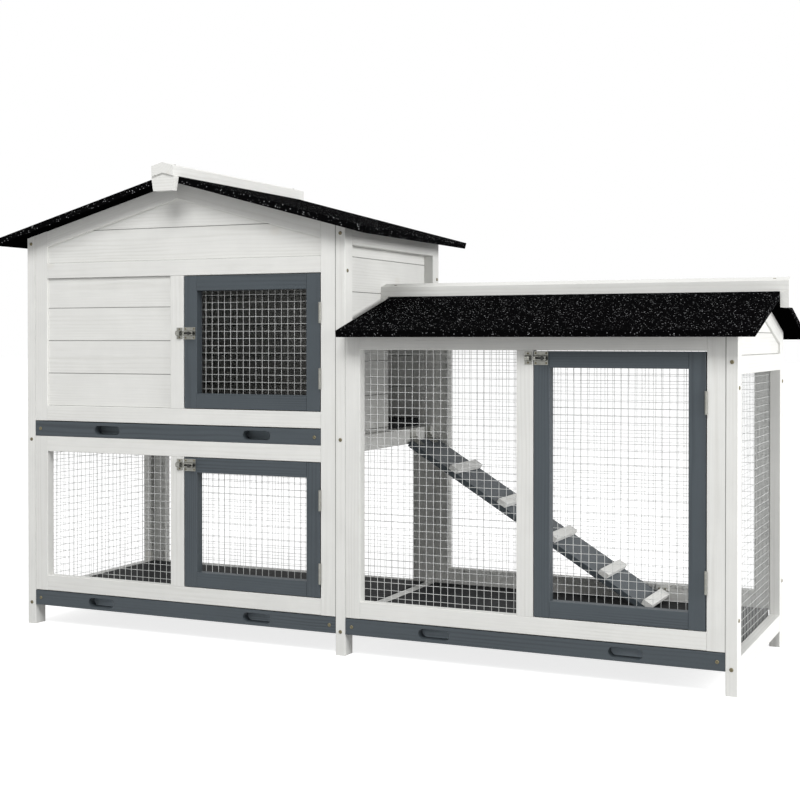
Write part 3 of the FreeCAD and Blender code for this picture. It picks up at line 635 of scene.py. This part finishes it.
def eased_edge(face):
    """Longest edge of a face if the face is part of an eased edge, else nothing."""
    widest = 1.5 * MM
    least_bend = 0.5
    most_bend = 1.1
    unknown_bend = 0.8
    longest = max(face.edges, key=lambda e: e.calc_length())
    if 2.0 * face.calc_area() > widest * longest.calc_length():
        return None
    bends = [e.calc_face_angle(unknown_bend) for e in face.edges]
    return longest if any(least_bend < bend < most_bend for bend in bends) else None


def seam_hits(face, edge, own, tree, owners):
    """How many tested points of an eased edge lie against a member other than its own."""
    reach = 1.1 * MM
    start, stop = [v.co for v in edge.verts]
    run = (stop - start).normalized()
    aside = face.calc_center_median() - start
    aside -= run * aside.dot(run)
    hits = 0
    for share_along in SEAM_TESTS:
        near = tree.find_nearest_range(start.lerp(stop, share_along) + aside, reach)
        hits += any(owners[number] != own for _, _, number, _ in near)
    return hits


def seam_shade_faces(meshes):
    """Eased faces, by node, that lie against another member of the same body, where painted shade goes.
    """
    corners = []
    polygons = []
    owners = []
    parts = []
    for node, (bm, groups) in meshes.items():
        first = len(corners)
        bm.verts.index_update()
        corners.extend(v.co.copy() for v in bm.verts)
        for group in groups:
            polygons.extend([first + v.index for v in face.verts] for face in group)
            owners.extend([len(parts)] * len(group))
            parts.append((node, group))
    tree = BVHTree.FromPolygons(corners, polygons)
    found = {node: set() for node in meshes}
    for own, (node, group) in enumerate(parts):
        for face in group:
            edge = eased_edge(face)
            if edge is not None and seam_hits(face, edge, own, tree, owners) >= SEAM_HITS:
                found[node].add(face)
    return found


def grain_layers(bm):
    bm.loops.layers.float_vector.new("grain")
    bm.faces.layers.float.new("tone")
    bm.faces.layers.float.new("seam")


def lay_grain(bm, group, draw):
    """Grain vector and tone of one member."""
    grain = bm.loops.layers.float_vector["grain"]
    tone = bm.faces.layers.float["tone"]
    plank = 9.0
    pith_near = 0.01
    pith_far = 0.05
    along = member_direction(group)
    first, second = across(along)
    start = Vector((draw.uniform(0, plank), draw.uniform(pith_near, pith_far),
                    draw.uniform(pith_near, pith_far)))
    level = draw.uniform(-1, 1)
    low, high = span({v for face in group for v in face.verts})
    for face in group:
        face.smooth = False
        face[tone] = level
        for loop in face.loops:
            reach = loop.vert.co - (low + high) / 2
            loop[grain] = start + Vector((reach.dot(along), reach.dot(first), reach.dot(second)))


def mesh_piece(bm, name, slot, body, *replaced):
    """Piece of a finished bmesh, which is freed."""
    mesh = bpy.data.meshes.new(name)
    bm.to_mesh(mesh)
    bm.free()
    mesh.materials.append(FINISHES[slot])
    return place(mesh, name, slot, body, *replaced)


# Operators

class HUTCH_OT_finishes(Operator):
    """Makes the materials of every finish"""

    bl_idname = "hutch.finishes"
    bl_label = "Finishes"

    def execute(self, context):
        paint = settings("paint")
        fittings = settings("fittings")
        for build in (timber_grain_group, mottle_group, scuffs_group, grit_group):
            build()
        painted_timber("white_paint", paint.white, paint.white_streak, paint.knot,
                       grain=paint.grain, knots=paint.knots, roughness=0.48, relief=0.35)
        painted_timber("grey_paint", paint.grey, paint.grey_streak, paint.grey_streak,
                       grain=0.8, knots=0.4, roughness=0.5, relief=0.45)
        # Lightened battens: painted light in the finger slots
        painted_timber("tray_batten_painted_light", paint.batten_painted_light, paint.grey, paint.grey,
                       grain=0.4, knots=0.3, roughness=0.6, relief=0.4)
        painted_timber("roof_board", paint.board, paint.board, paint.board,
                       grain=0.5, knots=0.2, roughness=0.7, relief=0.5, specular=0.0)
        painted_timber("inner_wood", paint.white, paint.white_streak, paint.knot,
                       grain=0.7, knots=0.6, roughness=0.6, relief=0.4)
        roof_felt()
        tray_sheet()
        zinc_metal("mesh", settings("wire").zinc, roughness=0.55, metallic=0.35, spangle=40.0)
        zinc_metal("hardware", fittings.steel, roughness=0.36, metallic=0.8, spangle=220.0)
        # Dark rods: painted shade round the bolts
        zinc_metal("bolt_rod_painted_shade", fittings.rod_painted_shade, roughness=0.25, metallic=0.6, spangle=220.0)
        zinc_metal("screws", fittings.brass, roughness=0.42, metallic=0.75, spangle=300.0)
        return {"FINISHED"}


class HUTCH_OT_timber(Operator):
    """Lays paint and grain along every frame member, board, door and batten, with painted shade in the
    joints
    """

    bl_idname = "hutch.timber"
    bl_label = "Timber"

    def execute(self, context):
        draw = random.Random(TIMBER_SEED)
        by_body = {}
        for node in sorted(CAD_NODES):
            if SLOT_OF[node] in WOODEN:
                bm = joined_mesh(node)
                grain_layers(bm)
                by_body.setdefault(body_of(node), {})[node] = (bm, members(bm))
        for body, meshes in by_body.items():
            shaded_seams = seam_shade_faces(meshes)
            for node, (bm, groups) in meshes.items():
                for group in groups:
                    lay_grain(bm, group, draw)
                # Faces that get painted shade in the joints
                seam = bm.faces.layers.float["seam"]
                for face in shaded_seams[node]:
                    face[seam] = 1.0
                mesh_piece(bm, "painted_" + node, SLOT_OF[node], body, node)
        return {"FINISHED"}


class HUTCH_OT_roof_felt(Operator):
    """Folds the felt over the roof boards"""

    bl_idname = "hutch.roof_felt"
    bl_label = "Roof Felt"

    def execute(self, context):
        flat = 0.01
        sharp = 0.5
        shortest = 20.0 * MM
        fold_area = 0.0011
        fold = settings("felt").fold
        for node in sorted(CAD_NODES):
            if SLOT_OF[node] != "roof_felt":
                continue
            bm = joined_mesh(node)
            bmesh.ops.dissolve_limit(bm, angle_limit=flat, verts=bm.verts, edges=bm.edges)
            bmesh.ops.recalc_face_normals(bm, faces=bm.faces)
            bends = [e for e in bm.edges if e.is_convex and e.calc_face_angle(0.0) > sharp]
            folds = [e for e in bends if e.calc_length() > shortest]
            bmesh.ops.bevel(bm, geom=folds, offset=fold, segments=3, profile=0.5, affect="EDGES",
                            clamp_overlap=True)
            for face in bm.faces:
                face.smooth = face.calc_area() < fold_area
            mesh_piece(bm, node + "_sheet", "roof_felt", body_of(node), node)
        return {"FINISHED"}


class HUTCH_OT_wire_mesh(Operator):
    """Welds the wire panels and staples them to the timber"""

    bl_idname = "hutch.wire_mesh"
    bl_label = "Wire Mesh"

    def wire(self, shape, start, stop, aside, draw, values):
        """One wire that strays a little from its line."""
        bend_gap = 50.0 * MM
        fewest = 3
        rows = max(fewest, round((stop - start).length / bend_gap))
        path = []
        for i in range(rows + 1):
            stray = aside * draw.uniform(-values.wander, values.wander)
            path.append(start.lerp(stop, i / rows) + stray)
        tube(shape, path, values.radius, values.sides)

    def net(self, shape, origin, level_way, upright_way, inward, draw, values):
        """Upright wires and the level ones welded on them; a way is an axis and its size."""
        edge = values.radius + 0.4 * MM
        late_start = 1.0 * MM
        spare = 1.5 * MM
        pressed = 2.85
        upright_depth = inward * values.radius
        level_depth = inward * values.radius * pressed
        for counted, run, depth in ((level_way, upright_way, upright_depth),
                                    (upright_way, level_way, level_depth)):
            count_axis, count_size = counted
            run_axis, run_size = run
            count = int((count_size - 2 * edge) / values.pitch)
            first = (count_size - count * values.pitch) / 2
            for i in range(count + 1):
                start = origin + count_axis * (first + i * values.pitch) + depth
                start += run_axis * draw.uniform(0, late_start)
                stop = start + run_axis * (run_size - spare)
                self.wire(shape, start, stop, count_axis, draw, values)

    def staple(self, shape, middle, arm, lift, radius):
        """Crown and two legs of a staple."""
        sides = 5
        left = middle - arm
        right = middle + arm
        tube(shape, [left + lift, right + lift], radius, sides)
        tube(shape, [left, left + lift], radius, sides)
        tube(shape, [right, right + lift], radius, sides)

    def staple_rows(self, shape, origin, level_way, upright_way, inward, draw, values):
        """Staples along the four edges of a net; a way is an axis and its size."""
        uneven = 0.15
        most_tilt = 0.35
        fewest = 2
        radius = values.radius * 0.9
        lift = inward * values.radius * 4.4
        for side_way, along_way in ((level_way, upright_way), (upright_way, level_way)):
            side_axis, side_size = side_way
            along_axis, along_size = along_way
            number = max(fewest, round(along_size / values.staple_gap))
            for side in (values.inset, side_size - values.inset):
                for i in range(number):
                    along = (i + 0.5 + draw.uniform(-uneven, uneven)) * along_size / number
                    middle = origin + side_axis * side + along_axis * along
                    tilt = draw.uniform(-most_tilt, most_tilt)
                    arm = along_axis * math.cos(tilt) + side_axis * math.sin(tilt)
                    self.staple(shape, middle, arm * (values.staple / 2), lift, radius)

    def panel(self, wires, staples, low, high, inward, draw, values):
        """Wires over a box, with staples on the side that inward points to."""
        thin = 0 if inward.x else 1
        wide = 1 - thin
        origin = low.copy()
        origin[thin] = low[thin] if inward[thin] > 0 else high[thin]
        level_way = (Vector((wide == 0, wide == 1, 0)), high[wide] - low[wide])
        upright_way = (Vector((0, 0, 1)), high.z - low.z)
        self.net(wires, origin, level_way, upright_way, inward, draw, values)
        self.staple_rows(staples, origin, level_way, upright_way, inward, draw, values)

    def execute(self, context):
        values = settings("wire")
        draw = random.Random(WIRE_SEED)
        inward_of = {
            "window_meshes": (0, 1, 0),
            "house_rear_mesh": (0, -1, 0),
            "run_rear_mesh": (0, -1, 0),
            "left_side_mesh": (1, 0, 0),
            "run_end_mesh": (-1, 0, 0),
            "upper_door_mesh": (0, 1, 0),
            "lower_door_mesh": (0, 1, 0),
            "run_door_mesh": (0, 1, 0),
        }
        for node, inward in inward_of.items():
            wires = Shape()
            staples = Shape()
            for low, high in boxes(node):
                self.panel(wires, staples, low, high, Vector(inward), draw, values)
            wires.piece(node + "_wires", "mesh", body_of(node), node)
            staples.piece(node + "_staples", "hardware", body_of(node))
        return {"FINISHED"}


def screw_head(shape, at, direction, radius, height, turn):
    """Domed head with a cross recess, its seat at a point and its top along direction."""
    # Rings as shares of the radius and the height, from the seat up and down into the recess
    dome = ((1.0, 0.0), (0.97, 0.42), (0.86, 0.74), (0.70, 0.93))
    recess = ((1.0, 0.97), (0.7, 0.35))
    arm = radius * 0.58
    slot = radius * 0.15
    cross = [(arm, slot), (slot, slot), (slot, arm), (-slot, arm), (-slot, slot), (-arm, slot),
             (-arm, -slot), (-slot, -slot), (-slot, -arm), (slot, -arm), (slot, -slot), (arm, -slot)]
    angles = [math.atan2(y, x) for x, y in cross]
    points = []
    for wide, up in dome:
        reach = radius * wide
        points.extend((reach * math.cos(a), reach * math.sin(a), height * up) for a in angles)
    for wide, up in recess:
        points.extend((x * wide, y * wide, height * up) for x, y in cross)
    first, second = across(direction)
    cos_t = math.cos(turn)
    sin_t = math.sin(turn)
    corners = []
    for x, y, z in points:
        over = first * (x * cos_t - y * sin_t) + second * (x * sin_t + y * cos_t)
        corners.append(at + over + direction * z)
    add_rings(shape, corners, len(cross))


class HUTCH_OT_screws(Operator):
    """Puts a cross-headed screw at every screw of the frames and trays"""

    bl_idname = "hutch.screws"
    bl_label = "Screws"

    def heads(self, node):
        """Seat, outward direction and radius of each screw's head in a node."""
        bm = joined_mesh(node)
        found = []
        for group in islands(bm):
            low, high = span(group)
            size = high - low
            axis = max(range(3), key=lambda i: size[i])
            others = [i for i in range(3) if i != axis]
            middle = (low + high) / 2
            rim = max(group, key=lambda v: sum((v.co[i] - middle[i]) ** 2 for i in others))
            outward = 1 if rim.co[axis] > middle[axis] else -1
            direction = Vector([outward * (i == axis) for i in range(3)])
            seat = middle.copy()
            seat[axis] = rim.co[axis]
            found.append((seat, direction, max(size[i] for i in others) / 2))
        bm.free()
        return sorted(found, key=lambda item: tuple(round(c, 4) for c in item[0]))

    def execute(self, context):
        values = settings("fittings")
        draw = random.Random(SCREW_SEED)
        for node in ("frame_screws", "upper_tray_screws", "lower_tray_screws", "run_tray_screws"):
            shape = Shape()
            for seat, direction, radius in self.heads(node):
                screw_head(shape, seat, direction, min(radius, values.head_radius),
                           values.head_height, draw.uniform(0, math.pi))
            shape.piece(node + "_heads", "screws", body_of(node), node)
        return {"FINISHED"}


class HUTCH_OT_fittings(Operator):
    """Finishes the hinges, barrel bolts and floors, and screws the bolts down"""

    bl_idname = "hutch.fittings"
    bl_label = "Fittings"

    def tray(self, node, draw):
        """Parts the sheet of a tray's floor from the painted batten behind its front, which is lightened
        as painted light.
        """
        batten_depth = 10.0 * MM
        for wooden in (False, True):
            bm = joined_mesh(node)
            grain_layers(bm)
            spare = []
            for group in members(bm):
                low, high = span({v for face in group for v in face.verts})
                if (high.y - low.y < batten_depth) != wooden:
                    spare.extend(group)
                elif wooden:
                    lay_grain(bm, group, draw)
            bmesh.ops.delete(bm, geom=spare, context="FACES")
            if wooden:
                batten_painted_light = mesh_piece(bm, node + "_batten", "grey_paint", body_of(node))
                # Lighter colour on the batten, painted light for the finger slot
                batten_painted_light.data.materials[0] = FINISHES["tray_batten_painted_light"]
            else:
                mesh_piece(bm, node + "_sheet", "tray_sheet", body_of(node), node)

    def finish_solid(self, node):
        """Gives a CAD solid that stays as it is the finish of its slot; a bolt's rod gets the dark finish
        of painted shade.
        """
        slot = SLOT_OF[node]
        data = CAD_NODES[node].data
        data.materials.clear()
        data.materials.append(FINISHES["bolt_rod_painted_shade" if node.endswith("_bolt") else slot])

    def small_screws(self, shape, low, high, columns, draw):
        """Screws at the lower and the upper end of a plate, in one column or two."""
        plate = 1.0 * MM
        widest_turn = 3.0
        values = settings("fittings")
        inset = values.small_radius + values.margin
        places = (low.x + inset, high.x - inset) if columns == 2 else ((low.x + high.x) / 2,)
        for x in places:
            for z in (low.z + inset, high.z - inset):
                screw_head(shape, Vector((x, high.y - plate, z)), Vector((0, -1, 0)),
                           values.small_radius, values.small_height, draw.uniform(0, widest_turn))

    def execute(self, context):
        draw = random.Random(FITTING_SEED)
        for node in sorted(CAD_NODES):
            if SLOT_OF[node] == "tray_sheet" and node.endswith("_tray_floor"):
                self.tray(node, draw)
            elif SLOT_OF[node] in ("hardware", "tray_sheet"):
                self.finish_solid(node)
        for door in ("upper_door", "lower_door", "run_door"):
            low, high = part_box(door + "_bolt_plate")
            shape = Shape()
            self.small_screws(shape, low, high, columns=2, draw=draw)
            shape.piece(door + "_bolt_screws", "screws", door)
        keepers = Shape()
        for low, high in boxes("bolt_keepers"):
            self.small_screws(keepers, low, high, columns=1, draw=draw)
        keepers.piece("bolt_keeper_screws", "screws", "hutch")
        return {"FINISHED"}


class HUTCH_OT_stage(Operator):
    """Makes the floor, the lights and the camera"""

    bl_idname = "hutch.stage"
    bl_label = "Stage"

    def floor(self, values):
        reach = 30.0
        mesh = bpy.data.meshes.new("floor")
        mesh.from_pydata([(-reach, -reach, 0), (reach, -reach, 0), (reach, reach, 0), (-reach, reach, 0)],
                         [], [(0, 1, 2, 3)])
        tree, shader = new_material("floor", roughness=0.9, specular=0.1)
        shader.inputs["Base Color"].default_value = rgba(values.floor)
        shader.inputs["Emission Color"].default_value = (1.0, 1.0, 1.0, 1.0)
        feed(tree, shader.inputs["Emission Strength"], product(tree, seen_directly(tree), values.lift))
        mesh.materials.append(FINISHES["floor"])
        obj = bpy.data.objects.new("floor", mesh)
        bpy.context.scene.collection.objects.link(obj)

    def world(self, values):
        world = bpy.data.worlds.new("studio")
        bpy.context.scene.world = world
        world.use_nodes = True
        tree = world.node_tree
        background = tree.nodes["Background"]
        background.inputs["Color"].default_value = (1.0, 1.0, 1.0, 1.0)
        strength = spread(tree, seen_directly(tree), 0.0, 1.0, values.world, 1.0)
        feed(tree, background.inputs["Strength"], strength)

    def lamp(self, name, power, size, at, aim):
        data = bpy.data.lights.new(name, "AREA")
        data.shape = "RECTANGLE"
        data.size, data.size_y = size
        data.energy = power
        obj = bpy.data.objects.new(name, data)
        obj.location = at
        obj.rotation_euler = (Vector(aim) - Vector(at)).to_track_quat("-Z", "Y").to_euler()
        bpy.context.scene.collection.objects.link(obj)

    def camera(self, values):
        yaw = math.radians(24.569)
        tilt = math.radians(90.0 - 0.561)
        data = bpy.data.cameras.new("camera")
        data.sensor_width = 36.0
        data.lens = values.lens
        data.shift_y = -0.0579
        data.clip_start = 0.05
        data.clip_end = 100.0
        obj = bpy.data.objects.new("camera", data)
        obj.location = (1.06425, -2.2834, 0.5292)
        obj.rotation_euler = Euler((tilt, 0.0, yaw))
        bpy.context.scene.collection.objects.link(obj)
        bpy.context.scene.camera = obj

    def execute(self, context):
        values = settings("stage")
        self.floor(values)
        self.world(values)
        self.lamp("high_lamp", values.high, size=(3.0, 1.6), at=(0.3, -2.95, 3.8), aim=(0.0, 0.0, 0.3))
        self.lamp("side_lamp", values.side, size=(2.0, 1.6), at=(4.6, -0.5, 1.5), aim=(0.0, 0.0, 0.4))
        self.camera(values)
        bpy.context.scene.view_settings.view_transform = "Standard"
        return {"FINISHED"}


class HUTCH_PT_sidebar(Panel):
    """Settings and steps of the hutch"""

    bl_label = "Hutch"
    bl_idname = "HUTCH_PT_sidebar"
    bl_space_type = "VIEW_3D"
    bl_region_type = "UI"
    bl_category = "Hutch"

    def draw(self, context):
        for kind in GROUPS:
            group = getattr(context.scene, "hutch_" + kind)
            column = self.layout.column(align=True)
            for key in group.__annotations__:
                column.prop(group, key)
        for step in STEPS:
            self.layout.operator(step.bl_idname)


GROUPS = {
    "paint": HutchPaint,
    "felt": HutchFelt,
    "wire": HutchWire,
    "fittings": HutchFittings,
    "stage": HutchStage,
}
STEPS = (
    HUTCH_OT_finishes,
    HUTCH_OT_timber,
    HUTCH_OT_roof_felt,
    HUTCH_OT_wire_mesh,
    HUTCH_OT_screws,
    HUTCH_OT_fittings,
    HUTCH_OT_stage,
)


def register():
    for cls in (*GROUPS.values(), *STEPS, HUTCH_PT_sidebar):
        bpy.utils.register_class(cls)
    for kind, group in GROUPS.items():
        setattr(bpy.types.Scene, "hutch_" + kind, PointerProperty(type=group))


def unregister():
    for kind in GROUPS:
        delattr(bpy.types.Scene, "hutch_" + kind)
    for cls in reversed((*GROUPS.values(), *STEPS, HUTCH_PT_sidebar)):
        bpy.utils.unregister_class(cls)


def main():
    register()
    bpy.ops.hutch.finishes()
    bpy.ops.hutch.timber()
    bpy.ops.hutch.roof_felt()
    bpy.ops.hutch.wire_mesh()
    bpy.ops.hutch.screws()
    bpy.ops.hutch.fittings()
    bpy.ops.hutch.stage()


if __name__ == "__main__":
    main()
